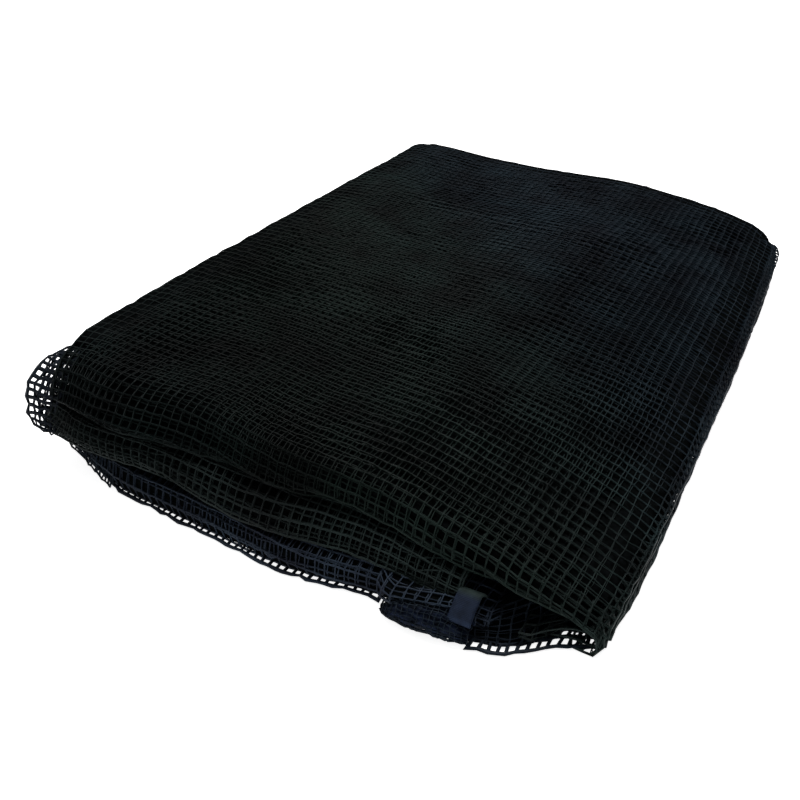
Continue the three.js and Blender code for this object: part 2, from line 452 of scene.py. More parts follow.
class TrimSizes(PropertyGroup):
    """The border tape and the strap end."""

    tape_thick: FloatProperty(
        name="Tape thickness",
        description="Thickness of the border tape",
        default=0.0016,
        unit="LENGTH",
    )
    strap_thick: FloatProperty(
        name="Strap thickness",
        description="Thickness of the webbing",
        default=0.0016,
        unit="LENGTH",
    )
    tape_colour: FloatVectorProperty(
        name="Tape",
        description="Colour of the border tape",
        subtype="COLOR",
        default=linear(0x141D30),
    )
    strap_colour: FloatVectorProperty(
        name="Strap",
        description="Colour of the webbing",
        subtype="COLOR",
        default=linear(0x1C2536),
    )
    # Painted highlight: the paler colour painted where the webbing's bend catches the light.
    bend_highlight: FloatVectorProperty(
        name="Fold",
        description="Colour of the webbing at its bend",
        subtype="COLOR",
        default=linear(0x2A3534),
    )


class StageSizes(PropertyGroup):
    """The floor, the light and the camera."""

    floor: FloatVectorProperty(
        name="Floor", description="Colour of the floor", subtype="COLOR", default=linear(0xF8F8F8)
    )
    key_power: FloatProperty(
        name="Key light", description="Power of the light above", default=46, unit="POWER"
    )
    fill_power: FloatProperty(
        name="Fill light", description="Power of the light on the left", default=6, unit="POWER"
    )
    lens: FloatProperty(
        name="Lens", description="Focal length of the camera", default=40.5, unit="CAMERA"
    )


def ease(value, low, high):
    """A soft step from 0 at low to 1 at high."""
    t = np.clip((value - low) / (high - low), 0, 1)
    return t * t * (3 - 2 * t)


def mix(first, last, share):
    """The value at a share of the way from first to last."""
    return first + (last - first) * share


def curve(rows, column):
    """A smooth curve through one column of a table, read at a share of the width."""
    places = np.array([row[0] for row in rows], float)
    values = np.array([row[column] for row in rows], float)
    chords = np.diff(values) / np.diff(places)
    slopes = np.concatenate([chords[:1], (chords[:-1] + chords[1:]) / 2, chords[-1:]])

    def at(share):
        share = np.clip(share, 0, 1)
        i = np.clip(np.searchsorted(places, share, "right") - 1, 0, len(places) - 2)
        span = places[i + 1] - places[i]
        p = (share - places[i]) / span
        start = (2 * p**3 - 3 * p**2 + 1) * values[i] + (p**3 - 2 * p**2 + p) * span * slopes[i]
        end = (3 * p**2 - 2 * p**3) * values[i + 1] + (p**3 - p**2) * span * slopes[i + 1]
        return start + end

    return at


front_edge = {name: curve(FRONT_EDGE, k + 1) for k, name in enumerate(("upper", "middle", "lower"))}
top_at_front = curve(TOP_HEIGHTS, 1)
top_at_back = curve(TOP_HEIGHTS, 2)
lower_share = curve(LIP_SHARES, 1)
middle_share = curve(LIP_SHARES, 2)


def share_across(x):
    """Where places lie across the pack, from 0 at its left to 1 at its right."""
    return (x - LEFT) / WIDTH


def top_height(x, y):
    """Height of the pack's top at places in plan."""
    across = share_across(x)
    along = (y - FRONT) / DEPTH
    rise = sum(height * np.exp(-(((along - at) / half) ** 2)) for at, height, half in TOP_CREASES)
    fade = ease(across, *CREASE_START) * (1 - ease(across, *CREASE_FADE))
    return mix(top_at_front(across), top_at_back(across), ease(along, 0, 1)) + fade * rise


def sheet_height(sheet, x, y):
    """Height of a sheet's middle at places in plan: each lip's sheets share its height evenly."""
    across = share_across(x)
    even = ease(y, FRONT, 0)
    top = top_height(x, y)
    lower = top * mix(lower_share(across), 1 / 3, even)
    middle = np.minimum(top * mix(middle_share(across), 2 / 3, even), top - LEAST_LIP)
    edges = (0 * top, lower, middle, top)
    lip = (sheet - 1) // LIP_SHEETS
    gap = 0 if lip == 2 else LIP_GAP_SHARE * top
    place = (sheet - 1) % LIP_SHEETS / (LIP_SHEETS - 1)
    return mix(edges[lip] + SHEET / 2, edges[lip + 1] - SHEET / 2 - gap, place)


def fold_of(sheet, side):
    """The fold in which a sheet turns, or ends, on one side."""
    return next(f for f in FOLDS if f[0] == side and f[2] <= sheet <= f[3])


def turn_line(fold, share):
    """The line in plan about which a fold's sheets turn, at shares of the fold's width."""
    side, outline, lowest, highest, tuck, short_left, short_right = fold
    x = mix(LEFT + short_left, WIDTH / 2 - RIGHT_BULGE - short_right, share)
    across = share_across(x)
    turns = WAVE_FIRST + WAVE_PACE * highest
    inward = tuck + WAVE_SIZE * (1 + np.sin(2 * math.pi * turns * (across + lowest / 10)))
    edge = FRONT + front_edge[outline](across) + inward if side == "front" else BACK - inward
    reach = (sheet_height(highest, x, edge) - sheet_height(lowest, x, edge) + SHEET) / 2
    reach = reach + LIP_STRETCH[outline]
    return x, edge + reach if side == "front" else edge - reach


def sheet_points(sheet, share, along):
    """Points of a sheet between its two turns, from 0 at the front to 1 at the back."""
    front_x, front_y = turn_line(fold_of(sheet, "front"), share)
    back_x, back_y = turn_line(fold_of(sheet, "back"), share)
    straight = mix(front_x, back_x, ease(along, END_HOLD, 1))
    across = share_across(straight)
    bulge = RIGHT_BULGE * across**8 - LEFT_BULGE * (1 - across) ** 8
    x = straight + bulge * math.sin(math.pi * along)
    y = mix(front_y, back_y, along)
    return np.stack([x, y, sheet_height(sheet, x, y)], axis=-1)


def turn_points(fold, first, last, share, swing):
    """Points of the half round turn from one sheet into the next."""
    side, outline, lowest, highest = fold[:4]
    x, y = turn_line(fold, share)
    start = sheet_height(first, x, y)
    end = sheet_height(last, x, y)
    half = (sheet_height(highest, x, y) - sheet_height(lowest, x, y)) / 2
    longer = 1 + LIP_STRETCH[outline] / half
    outward = np.abs(end - start) / 2 * longer * (-1 if side == "front" else 1)
    over = math.cos(math.pi * swing)
    rising = bool(np.mean(end - start) > 0)
    power = LIP_SQUARE[outline][int((over < 0) != rising)]
    z = mix(start, end, (1 - math.copysign(abs(over) ** power, over)) / 2)
    y = y + outward * math.sin(math.pi * swing) ** power
    if outline in LIP_SLOPE:
        across = share_across(x)
        below, slope = LIP_SLOPE[outline]
        behind = front_edge[outline](across) - front_edge[below](across)
        rise = (z - sheet_height(lowest, x, y)) / (2 * half)
        y = y - slope * np.maximum(behind, 0) * np.clip(1 - rise, 0, 1)
        if outline == "upper":
            at, breadth, depth = LIP_CREASE
            fade = 1 - ease(across, *LIP_CREASE_FADE)
            y = y + depth * np.exp(-(((rise - at) / breadth) ** 2)) * fade
    return np.stack([x, y, z], axis=-1)


def round_corners(points):
    """Draws the pack's back corners in to a round, and its front left corner in from the side."""
    moved = points.copy()
    x, y, z = (points[..., axis] for axis in range(3))
    near = (1 - ease(y, *CORNER_DEPTH)) * ease(z, *CORNER_RISE)
    moved[..., 0] += CORNER_IN * near * (1 - ease(x, *CORNER_PLACE))
    for side, edge, radius in BACK_CORNERS:
        u = (side * points[..., 0] - edge + radius) / radius
        v = (points[..., 1] - BACK + radius) / radius
        inside = (u > 0) & (v > 0)
        shrink = np.maximum(u, v) / np.maximum(np.hypot(u, v), 1e-6)
        moved[..., 0] = np.where(inside, side * (edge + radius * (u * shrink - 1)), moved[..., 0])
        moved[..., 1] = np.where(inside, BACK + radius * (v * shrink - 1), moved[..., 1])
    return moved


class ClothLine:
    """Lines down the cloth through some sheets, one for each share of the width."""

    def __init__(self, order, heading, share):
        points = []
        marks = []
        for index, sheet in enumerate(order):
            stops = np.linspace(0, 1, RUN_STEPS + 1)
            if heading == "front":
                stops = stops[::-1]
            marks.append((len(points), len(points) + RUN_STEPS))
            points += [sheet_points(sheet, share, along) for along in stops]
            if index == len(order) - 1:
                break
            fold = fold_of(sheet, heading)
            swings = np.arange(1, TURN_STEPS) / TURN_STEPS
            points += [turn_points(fold, sheet, order[index + 1], share, s) for s in swings]
            heading = "back" if heading == "front" else "front"
        self.points = np.array(points)
        steps = np.linalg.norm(np.diff(self.points, axis=0), axis=2)
        self.lengths = np.vstack([np.zeros(len(share)), np.cumsum(steps, axis=0)])
        self.starts = {sheet: self.lengths[a] for sheet, (a, b) in zip(order, marks)}
        self.ends = {sheet: self.lengths[b] for sheet, (a, b) in zip(order, marks)}

    def at(self, places):
        """Points at distances down each line, from rows of one distance for each line."""
        places = np.asarray(places)
        grid = np.empty(places.shape + (3,))
        for column in range(places.shape[1]):
            for axis in range(3):
                grid[:, column, axis] = np.interp(
                    places[:, column], self.lengths[:, column], self.points[:, column, axis]
                )
        return grid


def evenly(first, last, count):
    """Rows spaced evenly from one distance up to, and without, another."""
    return [mix(first, last, step / count) for step in range(count)]


def soft_noise(rng, shape, cells):
    """Smooth random heights, near 1 at most, over an array of this shape."""
    coarse = rng.uniform(-1, 1, (cells[0] + 1, cells[1] + 1))
    rows = np.linspace(0, cells[0], shape[0])
    columns = np.linspace(0, cells[1], shape[1])
    i = np.minimum(rows.astype(int), cells[0] - 1)
    j = np.minimum(columns.astype(int), cells[1] - 1)
    p = ease(rows - i, 0, 1)[:, None]
    q = ease(columns - j, 0, 1)[None, :]
    near = mix(coarse[np.ix_(i, j)], coarse[np.ix_(i, j + 1)], q)
    far = mix(coarse[np.ix_(i + 1, j)], coarse[np.ix_(i + 1, j + 1)], q)
    return mix(near, far, p)


def unit(vectors):
    """The vectors at length one."""
    return vectors / np.maximum(np.linalg.norm(vectors, axis=-1, keepdims=True), 1e-9)


def lay_unevenly(grid, rng, outward, sideways, lengthways, loose):
    """Moves a ply off its sheet by outward, and lets its yarns wander by up to the other sizes."""
    down = unit(np.gradient(grid, axis=0))
    over = unit(np.gradient(grid, axis=1))
    face = unit(np.cross(down, over))
    shape = grid.shape[:2]
    cells = (max(2, shape[0] // 11), max(2, shape[1] // 11))
    moved = grid + face * outward
    ends = np.minimum(np.arange(shape[1]), np.arange(shape[1])[::-1])
    held = np.clip(ends / 4, 0, 1)
    moved = moved + over * (sideways * held * soft_noise(rng, shape, cells))[..., None]
    moved = moved + down * (lengthways * soft_noise(rng, shape, cells))[..., None]
    return round_corners(moved + rng.uniform(-loose, loose, grid.shape))


def above_floor(points, least=LEAST_HEIGHT):
    """The points, with none lower than a least height."""
    return np.maximum(points, (-np.inf, -np.inf, least))


def add_grid(bm, points):
    """A grid of faces through an array of points in millimetres."""
    rows, columns = points.shape[:2]
    made = bmesh.ops.create_grid(bm, x_segments=columns - 1, y_segments=rows - 1, size=1)["verts"]
    for vertex, place in zip(made, points.reshape(-1, 3)):
        vertex.co = place * MM


def on_grid(points, row, column):
    """Points between those of a grid, at rows and columns that need not be whole."""
    i = np.clip(np.floor(row).astype(int), 0, points.shape[0] - 2)
    j = np.clip(np.floor(column).astype(int), 0, points.shape[1] - 2)
    p = (row - i)[:, None]
    q = (column - j)[:, None]
    near = mix(points[i, j], points[i, j + 1], q)
    far = mix(points[i + 1, j], points[i + 1, j + 1], q)
    return mix(near, far, p)


def add_net(bm, points, sizes, bold=1, down=1, thick=1):
    """A net with a yarn along each edge of a grid of points in millimetres.

    The net is made flat, stretched sideways so that its yarns down come out as fine as they are,
    and then laid on the points. Its yarns are bold times as broad, those down also down times, and
    thick times as thick as they are broad.
    """
    rows, columns = points.shape[:2]
    stretch = sizes.yarn_across / sizes.yarn_down
    step = Vector((sizes.mesh_width * stretch, sizes.mesh_length))
    flat = bmesh.new()
    made = bmesh.ops.create_grid(flat, x_segments=columns - 1, y_segments=rows - 1, size=1)["verts"]
    for index, vertex in enumerate(made):
        row, column = divmod(index, columns)
        vertex.co = (column * step.x, row * step.y, 0)
    bmesh.ops.wireframe(
        flat,
        faces=flat.faces[:],
        thickness=sizes.yarn_across * bold,
        offset=0,
        use_replace=True,
        use_boundary=True,
        use_even_offset=False,
    )
    mesh = bpy.data.meshes.new("yarns")
    flat.to_mesh(mesh)
    flat.free()
    places = np.empty(len(mesh.vertices) * 3, np.float32)
    mesh.vertices.foreach_get("co", places)
    places = places.reshape(-1, 3).astype(float)
    row, column = places[:, 1] / step.y, places[:, 0] / step.x
    middle = np.rint(column)
    down = np.interp(row, np.arange(rows), np.broadcast_to(down, rows))
    column = middle + (column - middle) * down
    lengthways = unit(np.gradient(points, axis=0))
    over = unit(np.gradient(points, axis=1))
    face = unit(on_grid(unit(np.cross(over, lengthways)), row, column))
    laid = on_grid(points, row, column) * MM + face * places[:, 2:] * thick
    mesh.vertices.foreach_set("co", laid.astype(np.float32).ravel())
    bm.from_mesh(mesh)
    bpy.data.meshes.remove(mesh)


def over_tape(points):
    """Lifts the lower lip's front onto the border tape, and tucks it back beside the strap end."""
    moved = points.copy()
    x, y, z = (points[..., axis] for axis in range(3))
    across = share_across(x)
    there = ease(across, *TAPE_CLIMB) * (1 - ease(across, *TAPE_DESCENT))
    near = 1 - ease(y, *LIFT_FADE)
    raised = TAPE_REST + (TAPE_LIP_TOP - TAPE_REST) * z / np.maximum(top_height(x, y) / 3, 1)
    moved[..., 2] = mix(z, raised, there * near)
    forward = np.interp(across, *zip(*TAPE_LIP_FRONT))
    moved[..., 1] = y - there * near * (front_edge["lower"](across) + 2 - forward)
    moved[..., 1] += LIP_TUCK * near * ease(across, *TUCK_START)
    return moved


def finish_piece(bm, name, material):
    """Turns a bmesh into a finished, smooth piece with one material."""
    mesh = bpy.data.meshes.new(name)
    for face in bm.faces:
        face.smooth = True
    bm.to_mesh(mesh)
    bm.free()
    mesh.materials.append(material)
    piece = bpy.data.objects.new(name, mesh)
    bpy.context.scene.collection.objects.link(piece)
    return piece


def declare(piece, node):
    """Seats a sheet on the frame, and hides the part of the model that it stands for."""
    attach(piece, "root")
    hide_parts(node)


def area_of(bm):
    """The surface of a mesh, in square metres."""
    return sum(face.calc_area() for face in bm.faces)


def finish_net(bm, context, name, lighting):
    """Turns yarns into a finished piece of net; it works out half the surface of its yarns, which
    is not used.
    """
    area = area_of(bm) / 2
    piece = finish_piece(bm, name, yarn_material(context, lighting))
    declare(piece, "net")


def thicken(bm, thickness):
    """Gives sheets their thickness, the same at flat places and at sharp folds."""
    bm.normal_update()
    made = bmesh.ops.extrude_face_region(bm, geom=bm.faces[:], use_keep_orig=True)["geom"]
    for vertex in made:
        if isinstance(vertex, bmesh.types.BMVert):
            vertex.co -= vertex.normal * thickness
    bmesh.ops.recalc_face_normals(bm, faces=bm.faces[:])


def lay_uv(bm, shape, size):
    """Gives a grid a map in metres, across and down the cloth, before it gets its thickness."""
    layer = bm.loops.layers.uv.new("cloth")
    rows, columns = shape
    bm.verts.index_update()
    for face in bm.faces:
        for loop in face.loops:
            row, column = divmod(loop.vert.index, columns)
            loop[layer].uv = (column / (columns - 1) * size[0], row / (rows - 1) * size[1])


def woven_mesh(points, size, thickness):
    """A band of cloth through a grid of points, and the area that it was cut to."""
    bm = bmesh.new()
    add_grid(bm, points)
    lay_uv(bm, points.shape[:2], size)
    area = area_of(bm)
    bm.normal_update()
    bmesh.ops.solidify(bm, geom=bm.faces[:], thickness=thickness)
    return bm, area


def add_node(tree, kind, inputs=None, stops=None, **settings):
    """One shader node with its inputs as values or linked sockets, ramp stops and settings."""
    node = tree.nodes.new(kind)
    for name, value in settings.items():
        setattr(node, name, value)
    for name, value in (inputs or {}).items():
        if isinstance(value, bpy.types.NodeSocket):
            tree.links.new(value, node.inputs[name])
        else:
            node.inputs[name].default_value = value
    if stops:
        elements = node.color_ramp.elements
        while len(elements) < len(stops):
            elements.new(1)
        for element, (place, colour) in zip(elements, stops):
            element.position = place
            element.color = (*colour, 1)
    return node


def new_material(name):
    """An empty node material, and its tree."""
    material = bpy.data.materials.new(name)
    material.use_nodes = True
    material.node_tree.nodes.clear()
    return material, material.node_tree


def finish_cloth(tree, colour, relief, depth, roughness, gloss):
    """Ends a cloth's material: its colour, its relief with strength and depth, and its shine."""
    strength, distance = depth
    bump = add_node(
        tree, "ShaderNodeBump", {"Height": relief, "Strength": strength, "Distance": distance}
    )
    shader = add_node(
        tree,
        "ShaderNodeBsdfPrincipled",
        {
            "Base Color": colour,
            "Roughness": roughness,
            "IOR": 1.5,
            "Specular IOR Level": gloss,
            "Normal": bump.outputs["Normal"],
        },
    )
    add_node(tree, "ShaderNodeOutputMaterial", {"Surface": shader.outputs["BSDF"]})


def black_yarn(name, sizes, painted_light_stops):
    """Black polyethylene yarn, knitted into a mesh, with painted light and shade in its colour."""
    # Twisted yarn is matt with small glints and never quite even; its colour also carries painted
    # light and shade.
    material, tree = new_material(name)
    place = add_node(tree, "ShaderNodeTexCoord").outputs["Object"]
    rubbed = add_node(
        tree, "ShaderNodeTexNoise", {"Vector": place, "Scale": 1 / 0.07, "Detail": 3}
    )
    colour = add_node(
        tree,
        "ShaderNodeValToRGB",
        {"Fac": rubbed.outputs["Fac"]},
        [(0.35, tuple(sizes.dark)), (0.65, tuple(sizes.light))],
    )
    # Painted light and shade: each copy of the yarn is painted paler or darker by its stops, and
    # the top's copy paler and bluer from the front left to the back right.
    toward = add_node(
        tree, "ShaderNodeVectorMath", {0: place, 1: (1, 1, 0)}, operation="DOT_PRODUCT"
    )
    along = add_node(
        tree,
        "ShaderNodeMapRange",
        {"Value": toward.outputs["Value"], "From Min": -0.6, "From Max": 0.6},
    )
    painted_light = add_node(tree, "ShaderNodeValToRGB", {"Fac": along.outputs["Result"]}, painted_light_stops)
    # Painted highlights make it paler still at the right front, and along the crest across the top.
    end = add_node(
        tree, "ShaderNodeVectorMath", {0: place, 1: (1, -1, 0)}, operation="DOT_PRODUCT"
    )
    at, half, crest = CREST_HIGHLIGHT
    lift = add_node(
        tree,
        "ShaderNodeMapRange",
        {
            "Value": end.outputs["Value"],
            "From Min": 0.2,
            "From Max": 0.5,
            "To Min": crest,
            "To Max": crest * END_HIGHLIGHT,
        },
    )
    depth = add_node(tree, "ShaderNodeSeparateXYZ", {"Vector": place}).outputs["Y"]
    back = add_node(
        tree,
        "ShaderNodeMapRange",
        {"Value": depth, "From Min": FRONT * MM, "From Max": BACK * MM},
    )
    plain = (1 / crest,) * 3
    ridge = add_node(
        tree,
        "ShaderNodeValToRGB",
        {"Fac": back.outputs["Result"]},
        [(at - half, plain), (at, (1, 1, 1)), (at + half, plain)],
    )
    painted_light = add_node(
        tree,
        "ShaderNodeVectorMath",
        {0: painted_light.outputs["Color"], "Scale": lift.outputs["Result"]},
        operation="SCALE",
    )
    painted_light = add_node(
        tree,
        "ShaderNodeVectorMath",
        {0: painted_light.outputs["Vector"], 1: ridge.outputs["Color"]},
        operation="MULTIPLY",
    )
    colour = add_node(
        tree,
        "ShaderNodeMix",
        {0: 1, 6: colour.outputs["Color"], 7: painted_light.outputs["Vector"]},
        data_type="RGBA",
        blend_type="MULTIPLY",
    )
    # The twist of the yarn repeats about every 2 mm, drawn at 3 mm so that it shows.
    twist = add_node(
        tree, "ShaderNodeTexNoise", {"Vector": place, "Scale": 1 / 0.003, "Detail": 2}
    )
    finish_cloth(tree, colour.outputs[2], twist.outputs["Fac"], (0.6, 0.0006), 0.45, 0.05)
    return material


def close_plies(name):
    """The inner plies of black mesh, which lie so close that no light comes through."""
    # Many plies of mesh on one another read as matt black with a faint grain of yarns.
    material, tree = new_material(name)
    place = add_node(tree, "ShaderNodeTexCoord").outputs["Object"]
    grain = add_node(
        tree, "ShaderNodeTexNoise", {"Vector": place, "Scale": 1 / 0.006, "Detail": 3}
    )
    colour = add_node(
        tree,
        "ShaderNodeValToRGB",
        {"Fac": grain.outputs["Fac"]},
        [(0.4, linear(0x050606)), (0.7, linear(0x0C0E0F))],
    )
    finish_cloth(tree, colour.outputs["Color"], grain.outputs["Fac"], (0.8, 0.001), 1, 0)
    return material


def woven_band(name, stops, length, thread, mottle):
    """Polyester yarn woven into a narrow band, with ribs across it from one weft to the next."""
    # A close weave is matt with a dull sheen, and its ribs catch the light one by one.
    material, tree = new_material(name)
    place = add_node(tree, "ShaderNodeUVMap", uv_map="cloth").outputs["UV"]
    ribs = add_node(
        tree,
        "ShaderNodeTexWave",
        {
            "Vector": place,
            "Scale": 1 / (thread * 2),
            "Distortion": 0.6,
            "Detail": 1,
            "Detail Scale": 2,
        },
        bands_direction="Y",
    )
    down = add_node(tree, "ShaderNodeSeparateXYZ", {"Vector": place}).outputs["Y"]
    share = add_node(tree, "ShaderNodeMath", {0: down, 1: length}, operation="DIVIDE")
    # The stops paint highlights along the band, at its bends.
    colour = add_node(tree, "ShaderNodeValToRGB", {"Fac": share.outputs["Value"]}, stops)
    worn = add_node(
        tree, "ShaderNodeTexNoise", {"Vector": place, "Scale": 1 / 0.007, "Detail": 4}
    )
    patches = add_node(
        tree,
        "ShaderNodeValToRGB",
        {"Fac": worn.outputs["Fac"]},
        [(0.35, (1 - mottle,) * 3), (0.65, (1, 1, 1))],
    )
    shade = add_node(
        tree,
        "ShaderNodeMix",
        {0: 1, 6: colour.outputs["Color"], 7: patches.outputs["Color"]},
        data_type="RGBA",
        blend_type="MULTIPLY",
    )
    finish_cloth(tree, shade.outputs[2], ribs.outputs["Fac"], (0.5, 0.0004), 0.7, 0.08)
    return material


def material_of(name, make, *values):
    """The material of this name, made the first time that it is asked for."""
    return bpy.data.materials.get(name) or make(name, *values)


def yarn_material(context, lighting):
    """The net's material, with painted light and shade: paler on top, painted shade in the middle
    lip and the sheets' edges, painted bluish floor light on the lower lip, and painted shade on the
    loose net at the corners.
    """
    name = f"{lighting} black polyethylene mesh yarn"
    return material_of(name, black_yarn, context.scene.net_sizes, PAINTED_LIGHT[lighting])


def columns_for(width, pitch):
    """Shares of the width, one for each yarn that runs down the cloth."""
    return np.linspace(0, 1, round(width / pitch) + 1)


def roll_down(grid, columns, pitch):
    """Rolls a grid's right side over, from its last yarn but one, and lets it fall to the floor."""
    edge = grid[:, -2]
    drop = edge[:, 2] - LEAST_HEIGHT
    hang = np.maximum(drop + HANG_SPARE, HANG_LEAST)
    corner, behind, along = HANG_SWELL
    swell = mix(behind, along, ease(edge[:, 1], *HANG_FAR))
    swell = mix(corner, swell, ease(edge[:, 1], *HANG_NEAR))
    added = []
    for k in range(1, columns + 1):
        share = np.clip(k * pitch / hang, 0, 1)
        spare = np.maximum(k * pitch - hang, 0)
        out = swell * np.sin(share * math.pi * 0.6) - HANG_TUCK * spare
        fall = drop * (1 - np.cos(share * math.pi / 2)) ** 0.8
        added.append(edge + np.stack([out, 0 * out, -fall], axis=-1))
    return np.concatenate([grid[:, :-1], np.stack(added, axis=1)], axis=1)


def roll_left(grid, columns, pitch):
    """Rolls a grid's left side over the pack's left edge."""
    edge = grid[:, 0]
    added = []
    for k in range(columns, 0, -1):
        angle = min(k * pitch / LEFT_ROLL, math.pi / 2)
        rest = max(0, k * pitch - LEFT_ROLL * math.pi / 2)
        fall = LEFT_ROLL * (1 - math.cos(angle)) + rest
        added.append(edge - np.array([LEFT_ROLL * math.sin(angle), 0, fall]))
    return np.concatenate([np.stack(added, axis=1), grid], axis=1)


def cheek_points(rows, columns):
    """The left front corner's loose net, from the lips out to its rim."""
    share = np.linspace(0, 1, rows)
    height, out, back = (curve(CHEEK, k)(share)[:, None] for k in (1, 2, 3))
    x = mix(CHEEK_START, CHEEK_SIDE - out, np.linspace(0, 1, columns))
    return np.stack([x, FRONT + back + 0 * x, height + 0 * x], axis=-1)


def flap_points(rows, share, under):
    """The near corner's flap of net, rising from its front edge back to the lips."""
    x, back = curve(FLAP, 1)(share), curve(FLAP, 2)(share)
    grid = np.empty((rows, len(share), 3))
    gather = ease(share, *FLAP_GATHER)
    rise = mix(*FLAP_RISE, gather) * (1 - FLAP_SINK * ease(share, *FLAP_SINK_AT))
    start = FRONT + back + FLAP_START + FLAP_CORNER * ease(share, *FLAP_CORNER_AT)
    for row in range(rows):
        grid[row, :, 0] = x - FLAP_SHIFT * row
        grid[row, :, 1] = start + mix(*FLAP_STEP, gather) * row
        grid[row, :, 2] = RIM_HEIGHT + rise * row - under * min(1, row / 2)
    return grid


def tape_points(across, down, outward):
    """The border tape's doubled band, at shares of its length and of the way over it."""
    x, back, height = (curve(TAPE_LINE, k)(across) for k in (1, 2, 3))
    first, last = TAPE_TURN
    bulge = np.minimum(TAPE_BULGE, height / 2)
    rows = []
    for share in down:
        swing = np.clip((share - first) / (last - first), 0, 1)
        tail = TAPE_TAIL * max(0, first - share, share - last) / first
        y = FRONT + back + bulge + tail - (bulge + outward) * math.sin(math.pi * swing)
        z = 1 + height / 2 - (height / 2 - 0.5 + outward) * math.cos(math.pi * swing)
        rows.append(above_floor(np.stack([x, y, z], axis=-1)))
    return np.array(rows)


def add_rim(bm, x, front, places, rng, wander, sizes):
    """A strip of bold meshes on the floor behind a line in plan, with yarns that wander."""
    rim = np.array([np.stack([x, front + by, 0 * x + RIM_HEIGHT], axis=-1) for by in places])
    add_net(bm, rim + rng.uniform(-1, 1, rim.shape) * wander, sizes, *RIM_YARN)


def add_loop(bm, place, radius, breadth):
    """A small loop of cord that stands at a place and leans back."""
    lean = Matrix.Translation(Vector(place) * MM) @ Matrix.Rotation(math.radians(-30), 4, "X")
    side = lean @ Matrix.Translation((radius * MM, 0, 0))
    before = len(bm.faces)
    ring = bmesh.ops.create_circle(bm, segments=6, radius=breadth / 2 * MM, matrix=side)["verts"]
    bmesh.ops.spin(
        bm,
        geom=ring + list({edge for vertex in ring for edge in vertex.link_edges}),
        cent=Vector(place) * MM,
        axis=lean.to_3x3() @ Vector((0, 1, 0)),
        angle=2 * math.pi,
        steps=14,
        use_merge=True,
    )
    bm.faces.ensure_lookup_table()
    bmesh.ops.recalc_face_normals(bm, faces=bm.faces[before:])


class FOLDEDNET_OT_top(Operator):
    """Lays the top sheet, three plies of net that turn in the upper lip and at the back"""

    bl_idname = "folded_net.top"
    bl_label = "Top sheet"

    def execute(self, context):
        sizes = context.scene.net_sizes
        length = sizes.mesh_length / MM
        pitch = sizes.mesh_width / MM
        share = columns_for(WIDTH - TOP_SHORT, pitch)
        line = ClothLine((11, 12, 9), "back", share)
        first, last = line.starts[12], line.ends[12]
        count = round(float(np.mean(last - first)) / length)
        rows = [first - length * k for k in range(TOP_BACK_ROWS, 0, -1)]
        rows += evenly(first, last, count)
        rows += [last + length * k for k in range(TOP_LIP_ROWS)]
        # The plies slip less and shift more toward the front, and lie closer at the back turn.
        place = np.arange(len(rows))
        front = ease(place, TOP_FRONT[0] * count, TOP_FRONT[1] * count)
        nose = ease(place, TOP_NOSE[0] + count, TOP_NOSE[1] + count)
        apart = mix(0.4, 1, ease(place, *TOP_TURN)[:, None, None])
        held = np.clip(np.minimum(share, 1 - share) / TOP_HELD, 0, 1)
        for ply in range(PLIES):
            rng = np.random.default_rng(sizes.seed + ply)
            slip = TOP_SLIP[ply] * length * mix(1, 0.4, front)
            grid = line.at([row + by for row, by in zip(rows, slip)])
            grid[..., 0] += TOP_SHIFT[ply] * (front * (1 - nose))[:, None] * held
            # The two outer plies hang over the pack's sides.
            if ply < PLIES - 1:
                grid = roll_left(roll_down(grid, TOP_RIGHT, pitch), TOP_SIDE, pitch)
            outward = (1 - ply) * sizes.ply_gap / MM * apart
            points = lay_unevenly(grid, rng, outward, *TOP_WANDER[ply], TOP_LOOSE)
            bm = bmesh.new()
            add_net(bm, above_floor(points), sizes, 1, 1 + 0.1 * front + 0.4 * nose)
            # The top's yarn carries painted light, paler toward the back right.
            finish_net(bm, context, f"top_net_ply_{ply + 1}", "rubbed")
        return {"FINISHED"}


